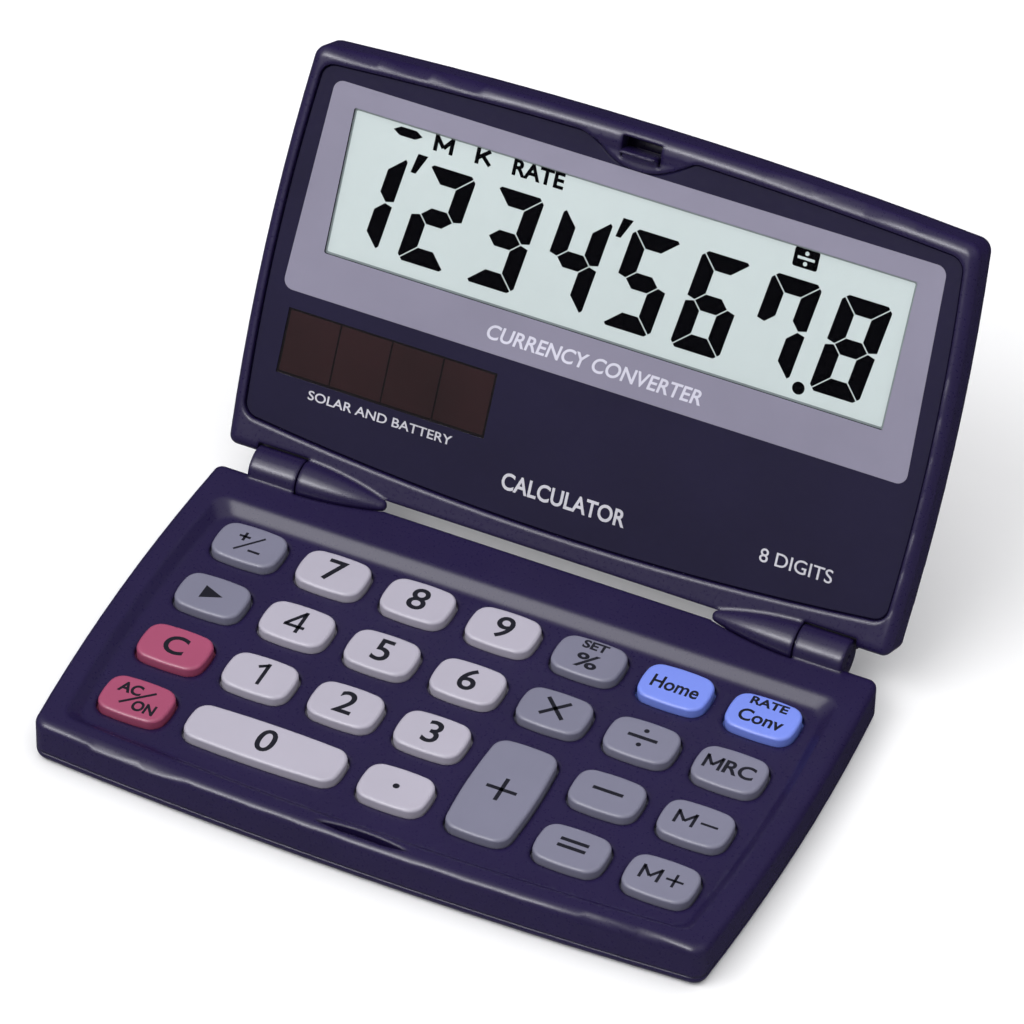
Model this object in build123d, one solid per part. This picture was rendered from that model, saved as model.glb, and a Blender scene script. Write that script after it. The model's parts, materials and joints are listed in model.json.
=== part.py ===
from build123d import *
import os

os.makedirs("parts", exist_ok=True)

# A folding pocket calculator: a keypad leaf that lies flat and a display leaf hinged to its rear edge.
# Millimetres. X runs across the calculator, Y from the free edge of the keypad to the hinge, Z up.
# The origin is on the flat underside of the keypad leaf, midway between its sides.
# Both leaves have one outline, but the display leaf is a little longer. A place on a leaf is given as x and s, its distance from the hinge axis.
# The display leaf is drawn lying flat behind the hinge, and is tilted up at the end.

# ---- the two leaves
base_side = -1
display_side = 1
leaf_width = 90.0
leaf_depths = {base_side: 53.7, display_side: 55.0}
leaf_thickness = 6.2
half_fold = 6.3
hinge_y = 27.4
tilt_at_rest = 63.0

front_bow = 1.5
front_half_width = 43.5
rear_half_width = 44.3
widest_at = 25.0
rear_setback = 1.4
middle_setback = 0.65
front_corner_radius = 1.8
rear_corner_radius = 1.2
rim_radii = {base_side: 1.0, display_side: 1.25}
bottom_radius = 1.3
rear_edge_radius = 0.25
split_height = 1.6
wall = 1.2
groove_depth = 0.12
groove_height = 0.12

# ---- hinges, one at each side
knuckle_radius = 2.5
knuckle_inner_end = 33.4
knuckle_outer_end = 39.7
seam_gap = 0.25
bullet_tip = 21.9
bullet_tip_radius = 0.75
bullet_waist = 28.5
bullet_waist_radius = 2.1
swing_gap = 0.3
pin_radius = 0.6
pin_inner_end = 27.4
pin_outer_end = 39.1
pin_running_gap = 0.05

# ---- keypad
floor_height = leaf_thickness - 1.35
floor_thickness = 0.9
land_inset = 2.8
land_front_inset = 2.5
slope_run = 1.4
rear_land_edge = 6.85
rear_slope_run = 1.65
land_edge_radius = 0.5
floor_edge_radius = 0.6
well_corner_radius = 2.0

key_pitch_x = 11.4
key_pitch_y = 10.0
first_row_s = 13.0
key_width = 8.9
key_height = 6.4
key_side_bulge = 0.32
key_end_bulge = 0.42
key_corner_radius = 1.9
key_top = leaf_thickness - 0.25
key_top_radius = 0.42
key_gap = 0.26
key_flange = 0.6
key_flange_thickness = 0.5
key_flange_gap = 0.05
key_bottom = floor_height - floor_thickness - key_flange_gap - key_flange_thickness
key_travel = 0.7
mat_clearance = 0.05
mat_top = key_bottom - key_travel - mat_clearance
mat_bottom = 1.4
mat_sheet = 0.3
mat_inset = 6.2
board_inset = 6.1
board_bottom = 0.95
board_top = 1.35
cover_room = 2.1
lip_gap = 0.06
lip_height = 0.8

# ---- latch at the middle of the free edges
slot_half_width = 6.1
slot_near = 51.6
slot_far = 52.85
slot_floor = leaf_thickness - 1.75
tab_half_width = 2.35
tab_tip = 52.45
tab_bottom = leaf_thickness - 0.9
tab_top = leaf_thickness - 0.25
tongue_half_width = 2.3
tongue_root = 51.2
tongue_near = 51.88
tongue_far = 52.3
tongue_proud = 1.25
window_far = 53.95
window_half_width = 2.6

# ---- display leaf, heights as it lies flat
lens_recess = 0.45
lens_bevel = 0.2
lens_thickness = 1.2
lens_gap = 0.08
lens_side_margin = 1.5
lens_low_side_margin = 1.35
lens_top_side_margin = 1.5
lens_top_margin = 1.95
lens_bottom_middle = 3.2
lens_bottom_corner = 5.7
lens_corner_radius = 2.0
notch_half_width = 10.0
notch_depth = 3.15
dish_half_width = 6.2
dish_near = 49.0
dish_ramp_near = 51.9
dish_ramp_far = 52.9
plate_thickness = 0.8
cover_inner = 0.9

lcd_half_width = 39.0
lcd_far = 49.2
lcd_near = 27.4
lcd_ledge_near = 25.4
lcd_top = leaf_thickness - 1.95
lcd_glass = 0.7
film = 0.2
solar_x = -25.85
solar_s = 16.25
solar_width = 28.6
solar_height = 8.7
solar_thickness = 1.1
main_board_top = 1.55
main_board_half_width = 37.2
main_board_near = 6.6
main_board_far = 27.0

cell_x = 22.0
cell_s = 14.2
cell_radius = 5.8
cell_height = 3.05
cell_bottom = 0.7
contact_sheet = 0.15

# ---- screws
screw_radius = 0.7
screw_head_radius = 1.25
screw_head_height = 0.55
screw_head_recess = 0.12
boss_radius = 1.6
base_screw_x = 41.2
base_screw_rows = (11.0, 46.5)
base_screw_end = floor_height - 1.0
display_screw_x = 39.9
display_screw_s = 8.6
display_screw_end = leaf_thickness - 2.55

UP = (0, 0, 1)
sides = (-1, 1)


def spot(side, x, s, z=0.0):
    """The point at x and at distance s from the hinge axis on one leaf."""
    return Vector(x, hinge_y + side * s, z)


def raised(face, bottom, top):
    """A prism on a face drawn at height 0."""
    return extrude(Pos(0, 0, bottom) * face, amount=top - bottom, dir=UP)


def near(shape, place, reach):
    """The vertices of a flat shape within reach of a place."""
    return shape.vertices().filter_by(lambda v: (Vector(v) - place).length < reach)


def leaf_plan(
    side,
    inset=0.0,
    rear=rear_setback,
    front_radius=front_corner_radius,
    rear_radius=rear_corner_radius,
    front_inset=None,
):
    """The outline of a leaf, pulled in by inset, with its rear edge at s = rear."""
    if front_inset is None:
        front_inset = inset
    rear_x = rear_half_width - inset
    front_x = front_half_width - inset
    front_s = leaf_depths[side] - front_bow - front_inset
    rear_left = spot(side, -rear_x, rear)
    rear_right = spot(side, rear_x, rear)
    front_left = spot(side, -front_x, front_s)
    front_right = spot(side, front_x, front_s)
    edges = [
        Line(rear_left, rear_right),
        ThreePointArc(rear_right, spot(side, leaf_width / 2 - inset, widest_at), front_right),
        ThreePointArc(front_right, spot(side, 0, leaf_depths[side] - front_inset), front_left),
        ThreePointArc(front_left, spot(side, -leaf_width / 2 + inset, widest_at), rear_left),
    ]
    face = make_face(Curve() + edges)
    for corner in (front_left, front_right):
        face = fillet(near(face, corner, 0.01), front_radius)
    for corner in (rear_left, rear_right):
        face = fillet(near(face, corner, 0.01), rear_radius)
    return face


def plate(side, x_low, x_high, s_low, s_high, bottom, top):
    """A block between two x, two s and two heights."""
    low = spot(side, x_low, s_low, bottom)
    high = spot(side, x_high, s_high, top)
    size = high - low
    return Pos((low + high) / 2) * Box(abs(size.X), abs(size.Y), abs(size.Z))


def leaf_blank(side):
    """The whole leaf as one block, with rounded rim, rounded bottom edge and the strip between the hinges."""
    block = raised(leaf_plan(side), 0, leaf_thickness)
    block = fillet(block.edges().group_by(Axis.Z)[-1], rim_radii[side])
    block = fillet(block.edges().group_by(Axis.Z)[0], bottom_radius)
    strip_x = knuckle_outer_end
    strip = plate(side, -strip_x, strip_x, middle_setback, 5.0, 0, leaf_thickness)
    rear_edges = strip.edges().filter_by(Axis.X).sort_by(Axis.Y)
    if side == base_side:
        rear_edges = rear_edges[-2:]
    else:
        rear_edges = rear_edges[:2]
    lower, upper = rear_edges.sort_by(Axis.Z)
    strip = fillet([upper], rear_edge_radius)
    lower = strip.edges().filter_by(Axis.X).group_by(Axis.Z)[0]
    lower = lower.sort_by(lambda e: -side * e.center().Y)[-1]
    strip = fillet([lower], bottom_radius)
    return block + strip


def above(height):
    """Everything above a height."""
    return Pos(0, 0, height + 50) * Box(400, 400, 100)


def below(height):
    """Everything below a height."""
    return Pos(0, 0, height - 50) * Box(400, 400, 100)


def parting_groove(side):
    """The fine groove that runs round a leaf where its two shells meet."""
    outer = raised(leaf_plan(side, inset=-1.0, rear=-1.0), split_height - groove_height, split_height)
    inner = raised(leaf_plan(side, inset=groove_depth, rear=rear_setback + groove_depth), 0, leaf_thickness)
    middle = plate(
        side, -knuckle_outer_end, knuckle_outer_end, middle_setback + groove_depth, 9, 0, leaf_thickness
    )
    return outer - inner - middle


def along_hinge(hand, x):
    """A cross-section plane square to the hinge axis, its normal pointing away from the middle."""
    return Plane(origin=(hand * x, hinge_y, half_fold), x_dir=(0, 1, 0), z_dir=(hand, 0, 0))


def barrel(hand, start, end, radius):
    """A cylinder round the hinge axis from start to end, measured from the middle of the calculator."""
    return extrude(along_hinge(hand, start) * Circle(radius), amount=end - start)


def bullet(hand, grow=0.0, inner=bullet_tip, outer=knuckle_inner_end - seam_gap):
    """The tapered knuckle of the display leaf, or the room it needs when grown."""
    tip = Vector(hand * (inner - grow), 0)
    nose = Vector(hand * (bullet_tip + 0.7), bullet_tip_radius + grow)
    waist = Vector(hand * bullet_waist, bullet_waist_radius + grow)
    shoulder = Vector(hand * outer, knuckle_radius + grow)
    heel = Vector(hand * outer, 0)
    nose_mid = Vector(hand * (bullet_tip + 0.18 - 0.7 * grow), 0.68 * (bullet_tip_radius + grow))
    profile = make_face(
        Curve()
        + [
            ThreePointArc(tip, nose_mid, nose),
            ThreePointArc(nose, waist, shoulder),
            Line(shoulder, heel),
            Line(heel, tip),
        ]
    )
    turned = revolve(profile, Axis.X, 360)
    return Pos(0, hinge_y, half_fold) * turned


def key_plan(width, height, grow=0.0):
    """The outline of a key: a rectangle with bulging sides and round corners."""
    half_w = width / 2 + grow
    half_h = height / 2 + grow
    x = half_w - key_end_bulge
    y = half_h - key_side_bulge
    corners = [Vector(-x, -y), Vector(x, -y), Vector(x, y), Vector(-x, y)]
    edges = [
        ThreePointArc(corners[0], Vector(0, -half_h), corners[1]),
        ThreePointArc(corners[1], Vector(half_w, 0), corners[2]),
        ThreePointArc(corners[2], Vector(0, half_h), corners[3]),
        ThreePointArc(corners[3], Vector(-half_w, 0), corners[0]),
    ]
    face = make_face(Curve() + edges)
    return fillet(face.vertices(), key_corner_radius + grow)


# name, column, row, columns spanned, rows spanned
keys = [
    ("key_sign", 0, 0, 1, 1),
    ("key_7", 1, 0, 1, 1),
    ("key_8", 2, 0, 1, 1),
    ("key_9", 3, 0, 1, 1),
    ("key_percent", 4, 0, 1, 1),
    ("key_local", 5, 0, 1, 1),
    ("key_exchange", 6, 0, 1, 1),
    ("key_backspace", 0, 1, 1, 1),
    ("key_4", 1, 1, 1, 1),
    ("key_5", 2, 1, 1, 1),
    ("key_6", 3, 1, 1, 1),
    ("key_multiply", 4, 1, 1, 1),
    ("key_divide", 5, 1, 1, 1),
    ("key_memory_recall", 6, 1, 1, 1),
    ("key_clear", 0, 2, 1, 1),
    ("key_1", 1, 2, 1, 1),
    ("key_2", 2, 2, 1, 1),
    ("key_3", 3, 2, 1, 1),
    ("key_plus", 4, 2, 1, 2),
    ("key_minus", 5, 2, 1, 1),
    ("key_memory_minus", 6, 2, 1, 1),
    ("key_all_clear", 0, 3, 1, 1),
    ("key_0", 1, 3, 2, 1),
    ("key_point", 3, 3, 1, 1),
    ("key_equals", 5, 3, 1, 1),
    ("key_memory_plus", 6, 3, 1, 1),
]


def key_place(column, row, columns, rows):
    """The middle of a key on the keypad."""
    x = (column + (columns - 1) / 2 - 3) * key_pitch_x
    s = first_row_s + (row + (rows - 1) / 2) * key_pitch_y
    return spot(base_side, x, s)


def key_size(columns, rows):
    """The width and height of a key that spans some columns and rows."""
    return key_width + (columns - 1) * key_pitch_x, key_height + (rows - 1) * key_pitch_y


def make_key(place, width, height):
    """A key cap with a flange that stops it under the keypad floor."""
    flange_top = key_bottom + key_flange_thickness
    cap = raised(key_plan(width, height), flange_top, key_top)
    cap = fillet(cap.edges().group_by(Axis.Z)[-1], key_top_radius)
    flange = raised(key_plan(width, height, key_flange), key_bottom, flange_top)
    return Pos(place) * (cap + flange)


# ---------------------------------------------------------------- base leaf
def well():
    """The sunken key field, with sloping sides."""
    top = leaf_plan(
        base_side,
        land_inset,
        rear_land_edge,
        well_corner_radius,
        well_corner_radius,
        land_front_inset,
    )
    floor = leaf_plan(
        base_side,
        land_inset + slope_run,
        rear_land_edge + rear_slope_run,
        well_corner_radius,
        well_corner_radius,
        land_front_inset + slope_run,
    )
    return loft([Pos(0, 0, floor_height) * floor, Pos(0, 0, leaf_thickness) * top], ruled=True)


def crescent():
    """The slot behind the front rim that takes the latch tongue."""
    left = spot(base_side, -slot_half_width, slot_far - 0.55)
    right = spot(base_side, slot_half_width, slot_far - 0.55)
    face = make_face(
        Curve()
        + [
            ThreePointArc(left, spot(base_side, 0, slot_far), right),
            ThreePointArc(right, spot(base_side, 0, slot_near), left),
        ]
    )
    return raised(face, slot_floor, leaf_thickness + 1)


def screw_places(x, rows, side):
    """The places of a leaf's screws."""
    return [spot(side, hand * x, s) for s in rows for hand in sides]


def make_screw(place, end):
    """A small cross-head screw driven up into a leaf from below."""
    head_top = screw_head_recess + screw_head_height
    head = Pos(0, 0, screw_head_recess) * Cylinder(
        screw_head_radius, screw_head_height, align=(Align.CENTER, Align.CENTER, Align.MIN)
    )
    shank = Pos(0, 0, head_top) * Cylinder(
        screw_radius, end - head_top, align=(Align.CENTER, Align.CENTER, Align.MIN)
    )
    cross = Box(1.5, 0.34, 0.6) + Box(0.34, 1.5, 0.6)
    return Pos(place) * (head + shank - Pos(0, 0, screw_head_recess) * cross)


def screw_room(place, end):
    """The counterbore and hole for one screw."""
    head_top = screw_head_recess + screw_head_height
    head = Cylinder(
        screw_head_radius + 0.12, head_top, align=(Align.CENTER, Align.CENTER, Align.MIN)
    )
    shank = Cylinder(screw_radius, end, align=(Align.CENTER, Align.CENTER, Align.MIN))
    return Pos(place) * (head + shank)


def boss(place, bottom, top):
    """A round post that a screw bites into."""
    return Pos(place) * Pos(0, 0, bottom) * Cylinder(
        boss_radius, top - bottom, align=(Align.CENTER, Align.CENTER, Align.MIN)
    )


base_screw_places = screw_places(base_screw_x, base_screw_rows, base_side)
base_blank = leaf_blank(base_side)


def make_base_upper():
    """The keypad housing: rim, sloping well, key holes, fixed knuckles and catch tab."""
    underside = floor_height - floor_thickness
    shell = base_blank & above(split_height)
    shell -= raised(leaf_plan(base_side, wall, rear_setback + wall), split_height, underside)
    shell -= plate(base_side, -38, 38, 2.9, rear_land_edge - 0.6, underside - 0.1, leaf_thickness - wall)
    shell -= well()
    top_loop = shell.edges().filter_by(
        lambda e: abs(e.center().Z - leaf_thickness) < 0.01 and e.bounding_box().size.Z < 0.01
    )
    inner = leaf_plan(base_side, land_inset - 0.2, rear_land_edge - 0.2, front_inset=land_front_inset - 0.2)
    box = inner.bounding_box()
    top_loop = top_loop.filter_by(
        lambda e: box.min.X < e.center().X < box.max.X and box.min.Y < e.center().Y < box.max.Y
    )
    shell = fillet(top_loop, land_edge_radius)
    floor_loop = shell.edges().filter_by(
        lambda e: abs(e.center().Z - floor_height) < 0.01 and e.bounding_box().size.Z < 0.01
    )
    shell = fillet(floor_loop, floor_edge_radius)
    for hand in sides:
        shell += barrel(hand, knuckle_inner_end, knuckle_outer_end, knuckle_radius)
        shell -= bullet(hand, swing_gap, outer=knuckle_inner_end - 0.01)
        shell -= barrel(hand, knuckle_inner_end - 1, knuckle_outer_end + 1, pin_radius)
    shell -= crescent()
    tab = plate(
        base_side, -tab_half_width, tab_half_width, tab_tip, slot_far + 0.3, tab_bottom, tab_top
    )
    shell += fillet(tab.edges().filter_by(Axis.Z).sort_by(Axis.Y)[-2:], 0.3)
    for name, column, row, columns, rows in keys:
        width, height = key_size(columns, rows)
        hole = raised(key_plan(width, height, key_gap), underside - 1, floor_height + 1)
        shell -= Pos(key_place(column, row, columns, rows)) * hole
    for place in base_screw_places:
        shell += boss(place, split_height, underside + 0.05)
        shell -= screw_room(place, base_screw_end)
    return shell


def make_base_lower():
    """The bottom cover of the keypad leaf."""
    cover = base_blank & below(split_height)
    room = leaf_plan(base_side, cover_room, rear_setback + cover_room)
    cover -= raised(room, board_bottom - 0.05, split_height + 1)
    lip_plan = leaf_plan(base_side, wall + lip_gap, rear_setback + wall + lip_gap)
    lip = raised(lip_plan, split_height, split_height + lip_height)
    lip -= raised(room, split_height - 1, 3)
    cover += lip
    for place in base_screw_places:
        cover -= boss(place, split_height, 9)
        cover += boss(place, board_bottom - 0.05, split_height)
        cover -= screw_room(place, base_screw_end)
    cover -= parting_groove(base_side)
    cover -= plate(base_side, -17, 17, 7, 21, -1, 0.14)
    return cover


def make_key_mat():
    """The silicone mat: a sheet with one pad under each key, drawn at its height when pressed flat."""
    sheet = raised(leaf_plan(base_side, mat_inset, 8.0, 2.0, 2.0), mat_bottom, mat_bottom + mat_sheet)
    for name, column, row, columns, rows in keys:
        width, height = key_size(columns, rows)
        pad = raised(key_plan(width - 2.0, height - 1.6, -0.3), mat_bottom, mat_top)
        sheet += Pos(key_place(column, row, columns, rows)) * pad
    return sheet


def make_contact_board():
    """The printed board that the key mat presses on."""
    return raised(leaf_plan(base_side, board_inset, 7.4, 2.0, 2.0), board_bottom, board_top)


def make_pin(hand):
    """The steel pin of one hinge, pressed into the fixed knuckle."""
    return barrel(hand, pin_inner_end, pin_outer_end, pin_radius)


# ---------------------------------------------------------------- display leaf, drawn lying flat
def lens_plan(grow=0.0):
    """The outline of the clear panel, with the notch for the latch at its top edge."""
    side_x = leaf_width / 2 - lens_side_margin + grow
    low_x = rear_half_width - lens_low_side_margin + grow
    high_x = front_half_width - lens_top_side_margin + grow
    top_corner = leaf_depths[display_side] - front_bow - lens_top_margin + grow
    top_middle = leaf_depths[display_side] - lens_top_margin + grow
    low_left = spot(display_side, -low_x, lens_bottom_corner - grow)
    low_right = spot(display_side, low_x, lens_bottom_corner - grow)
    high_left = spot(display_side, -high_x, top_corner)
    high_right = spot(display_side, high_x, top_corner)
    edges = [
        ThreePointArc(low_left, spot(display_side, 0, lens_bottom_middle - grow), low_right),
        ThreePointArc(low_right, spot(display_side, side_x, widest_at), high_right),
        ThreePointArc(high_right, spot(display_side, 0, top_middle), high_left),
        ThreePointArc(high_left, spot(display_side, -side_x, widest_at), low_left),
    ]
    face = fillet(make_face(Curve() + edges).vertices(), lens_corner_radius + grow)
    return face - notch_plan(grow)


def notch_plan(grow=0.0):
    """The shield-shaped notch at the top of the clear panel: a U that flares out to both sides."""
    half = notch_half_width - grow
    side_s = leaf_depths[display_side] - lens_top_margin
    low_s = side_s - notch_depth + grow
    outline = [
        (-1.0, side_s + 0.15),
        (-0.63, side_s - 0.55),
        (-0.36, low_s + 0.85),
        (0.0, low_s),
        (0.36, low_s + 0.85),
        (0.63, side_s - 0.55),
        (1.0, side_s + 0.15),
    ]
    points = [spot(display_side, across * half, s) for across, s in outline]
    far_left = spot(display_side, -half, side_s + 4)
    far_right = spot(display_side, half, side_s + 4)
    edges = [
        Spline(*points, tangents=((1, 0, 0), (1, 0, 0))),
        Line(points[-1], far_right),
        Line(far_right, far_left),
        Line(far_left, points[0]),
    ]
    return make_face(Curve() + edges)


lens_top = leaf_thickness - lens_recess
lens_bottom = lens_top - lens_thickness
plate_bottom = lens_bottom - plate_thickness
display_screw_places = screw_places(display_screw_x, (display_screw_s,), display_side)
display_blank = leaf_blank(display_side)


def make_lens():
    """The clear panel, with its front edge bevelled."""
    panel = raised(lens_plan(), lens_bottom, lens_top)
    return chamfer(panel.edges().group_by(Axis.Z)[-1], lens_bevel)


def latch_window():
    """The opening beyond the latch tongue, with a slit down each side of the tongue."""
    top = leaf_thickness + 1
    opening = plate(
        display_side, -window_half_width, window_half_width, tongue_far, window_far, split_height, top
    )
    for hand in sides:
        edges = sorted((hand * tongue_half_width, hand * window_half_width))
        opening += plate(display_side, *edges, tongue_root, tongue_far, split_height, top)
    return opening


def across_middle(outline, half_width):
    """A prism across the middle of the display leaf, from a side outline of s and height."""
    side_view = Plane(origin=(0, hinge_y, 0), x_dir=(0, 1, 0), z_dir=(1, 0, 0))
    return extrude(side_view * Polygon(*outline, align=None), amount=half_width, both=True)


def latch_hook():
    """The hook at the free end of the latch tongue, drawn as a side profile of s and height."""
    top = leaf_thickness + tongue_proud
    outline = [
        (tongue_root, lens_top - 0.2),
        (tongue_root, lens_top),
        (tongue_near, leaf_thickness + 0.15),
        (tongue_near + 0.2, top - 0.1),
        (tongue_near + 0.3, top),
        (tongue_far - 0.05, top),
        (tongue_far + 0.05, top - 0.12),
        (tongue_far + 0.05, top - 0.3),
        (tongue_far, top - 0.4),
        (tongue_far, lens_top - 0.2),
    ]
    return across_middle(outline, tongue_half_width)


def notch_dish():
    """The sunken floor of the notch, which ramps up to the rim on each side of the latch window."""
    top = leaf_thickness + 1
    outline = [
        (dish_near, lens_top),
        (dish_ramp_near, lens_top),
        (dish_ramp_far, leaf_thickness),
        (dish_ramp_far, top),
        (dish_near, top),
    ]
    return across_middle(outline, dish_half_width) & raised(notch_plan(), lens_top - 1, top)


def make_display_front():
    """The display housing: rim, recess for the clear panel, swinging knuckles and latch tongue."""
    shell = display_blank & above(split_height)
    shell -= raised(leaf_plan(display_side, wall, rear_setback + 2.0), split_height, plate_bottom)
    shell -= raised(lens_plan(lens_gap), lens_bottom, leaf_thickness + 1)
    lcd_room = plate(
        display_side,
        -lcd_half_width - 0.2,
        lcd_half_width + 0.2,
        lcd_ledge_near - 0.2,
        lcd_far + 0.2,
        plate_bottom - 1,
        lens_bottom + 0.5,
    )
    shell -= lcd_room
    shell -= plate(
        display_side,
        solar_x - solar_width / 2 - 0.15,
        solar_x + solar_width / 2 + 0.15,
        solar_s - solar_height / 2 - 0.15,
        solar_s + solar_height / 2 + 0.15,
        plate_bottom - 1,
        lens_bottom + 0.5,
    )
    cell_room = Pos(spot(display_side, cell_x, cell_s, plate_bottom - 0.5)) * Cylinder(
        cell_radius + 0.5, plate_thickness + 0.9, align=(Align.CENTER, Align.CENTER, Align.MIN)
    )
    shell -= cell_room
    for hand in sides:
        room_start = knuckle_inner_end - seam_gap
        shell -= barrel(hand, room_start, knuckle_outer_end + 0.4, knuckle_radius + swing_gap)
        shell += bullet(hand)
        shell -= barrel(hand, pin_inner_end - 0.3, knuckle_inner_end, pin_radius + pin_running_gap)
    shell -= notch_dish()
    shell -= latch_window()
    shell += latch_hook()
    for place in display_screw_places:
        shell += boss(place, split_height, plate_bottom + 0.05)
        shell -= screw_room(place, display_screw_end)
    return shell


def make_display_rear():
    """The back cover of the display leaf."""
    cover = display_blank & below(split_height)
    room = leaf_plan(display_side, cover_room, rear_setback + 3.0)
    cover -= raised(room, cover_inner, split_height + 1)
    lip_plan = leaf_plan(display_side, wall + lip_gap, rear_setback + 2.0 + lip_gap)
    lip = raised(lip_plan, split_height, split_height + lip_height)
    lip -= raised(room, split_height - 1, 3)
    cover += lip
    for place in display_screw_places:
        cover -= boss(place, split_height, 9)
        cover += boss(place, cover_inner, split_height)
        cover -= screw_room(place, display_screw_end)
    cover -= Pos(spot(display_side, cell_x, cell_s, cell_bottom - contact_sheet)) * Cylinder(
        cell_radius + 0.7, 2, align=(Align.CENTER, Align.CENTER, Align.MIN)
    )
    cover -= parting_groove(display_side)
    return cover


def make_main_board():
    """The main board, cut out round the button cell."""
    board = plate(
        display_side,
        -main_board_half_width,
        main_board_half_width,
        main_board_near,
        main_board_far,
        main_board_top - 0.6,
        main_board_top,
    )
    board = fillet(board.edges().filter_by(Axis.Z), 1.0)
    hole = Pos(spot(display_side, cell_x, cell_s)) * Cylinder(cell_radius + 0.75, 9)
    return board - hole


def make_lcd_glass():
    """Two glass plates: the front one overhangs as the contact ledge."""
    front = plate(
        display_side, -lcd_half_width, lcd_half_width, lcd_ledge_near, lcd_far, lcd_top - lcd_glass, lcd_top
    )
    rear = plate(
        display_side,
        -lcd_half_width,
        lcd_half_width,
        lcd_near,
        lcd_far,
        lcd_top - 2 * lcd_glass,
        lcd_top - lcd_glass,
    )
    return front + rear


def lcd_sheet(bottom, top):
    """A thin sheet that covers the viewing area of the display."""
    return plate(
        display_side, -lcd_half_width + 0.4, lcd_half_width - 0.4, lcd_near + 0.4, lcd_far - 0.4, bottom, top
    )


def make_board_components():
    """Capacitors, resistors and diodes on the main board."""
    small = (2.0, 1.2)
    large = (3.2, 1.6)
    places = [
        (-31, 10.5, small),
        (-26, 10.5, small),
        (-20, 9.6, large),
        (-13.5, 9.6, large),
        (9.5, 9.4, small),
        (9.5, 12.4, small),
        (32.5, 10.0, small),
        (32.5, 14.0, large),
    ]
    parts = []
    for x, s, (length, breadth) in places:
        body = plate(
            display_side,
            x - length / 2,
            x + length / 2,
            s - breadth / 2,
            s + breadth / 2,
            main_board_top,
            main_board_top + 0.55 * breadth,
        )
        parts.append(fillet(body.edges().group_by(Axis.Z)[-1], 0.12))
    return Compound(children=parts)


def make_button_cell():
    """A round alkaline button cell with a stepped cap, its cap towards the back cover."""
    can = Cylinder(cell_radius, cell_height - 0.35, align=(Align.CENTER, Align.CENTER, Align.MIN))
    can = fillet(can.edges(), 0.25)
    cap = Cylinder(cell_radius - 0.75, 0.6, align=(Align.CENTER, Align.CENTER, Align.MIN))
    cell = Pos(0, 0, 0.35) * can + cap
    return Pos(spot(display_side, cell_x, cell_s, cell_bottom)) * cell


def make_positive_contact():
    """A sprung strip that bears on the side of the button cell and stands on the board."""
    outer = cell_radius + 0.42
    ring = Circle(outer) - Circle(outer - 0.2)
    wedge = Polygon((0, 0), (9, -6), (9, 6), align=None)
    strip = raised(ring & wedge, 0.2, 2.3)
    foot = Pos(outer + 1.0, 0, main_board_top - cell_bottom) * Box(
        2.2, 3.0, contact_sheet, align=(Align.CENTER, Align.CENTER, Align.MIN)
    )
    return Pos(spot(display_side, cell_x, cell_s, cell_bottom)) * (strip + foot)


def make_negative_contact():
    """A sheet-metal finger under the cap of the button cell."""
    disc = Cylinder(3.0, contact_sheet, align=(Align.CENTER, Align.CENTER, Align.MIN))
    arm = Box(6.4, 2.4, contact_sheet, align=(Align.MAX, Align.CENTER, Align.MIN))
    return Pos(spot(display_side, cell_x, cell_s, cell_bottom - contact_sheet)) * (disc + arm)


def make_solar_leads():
    """Two short leads from the back of the solar cell to the board."""
    bottom = main_board_top
    top = lcd_top + film - solar_thickness
    ends = (solar_x - 11.5, solar_x + 11.5)
    leads = [
        Pos(spot(display_side, x, solar_s, bottom))
        * Cylinder(0.3, top - bottom, align=(Align.CENTER, Align.CENTER, Align.MIN))
        for x in ends
    ]
    return Compound(children=leads)


def to_rest(shape):
    """Tilts a piece of the display leaf up from lying flat to its resting angle."""
    return shape.rotate(Axis((0, hinge_y, half_fold), (1, 0, 0)), tilt_at_rest)


solar_top = lcd_top + film
zebra_near = lcd_ledge_near + 0.3
zebra_far = lcd_near - 0.5

pieces = {
    "base_upper_case": make_base_upper(),
    "base_lower_case": make_base_lower(),
    "key_mat": make_key_mat(),
    "contact_board": make_contact_board(),
    "hinge_pin_left": make_pin(-1),
    "hinge_pin_right": make_pin(1),
    "base_screws": Compound(children=[make_screw(place, base_screw_end) for place in base_screw_places]),
    "film_tail_base": plate(base_side, 24, 30, 3.8, 7.9, board_top, board_top + 0.12),
    "rating_label": plate(base_side, -16.8, 16.8, 7.2, 20.8, 0.06, 0.14),
}

for name, column, row, columns, rows in keys:
    pieces[name] = make_key(key_place(column, row, columns, rows), *key_size(columns, rows))

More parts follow.
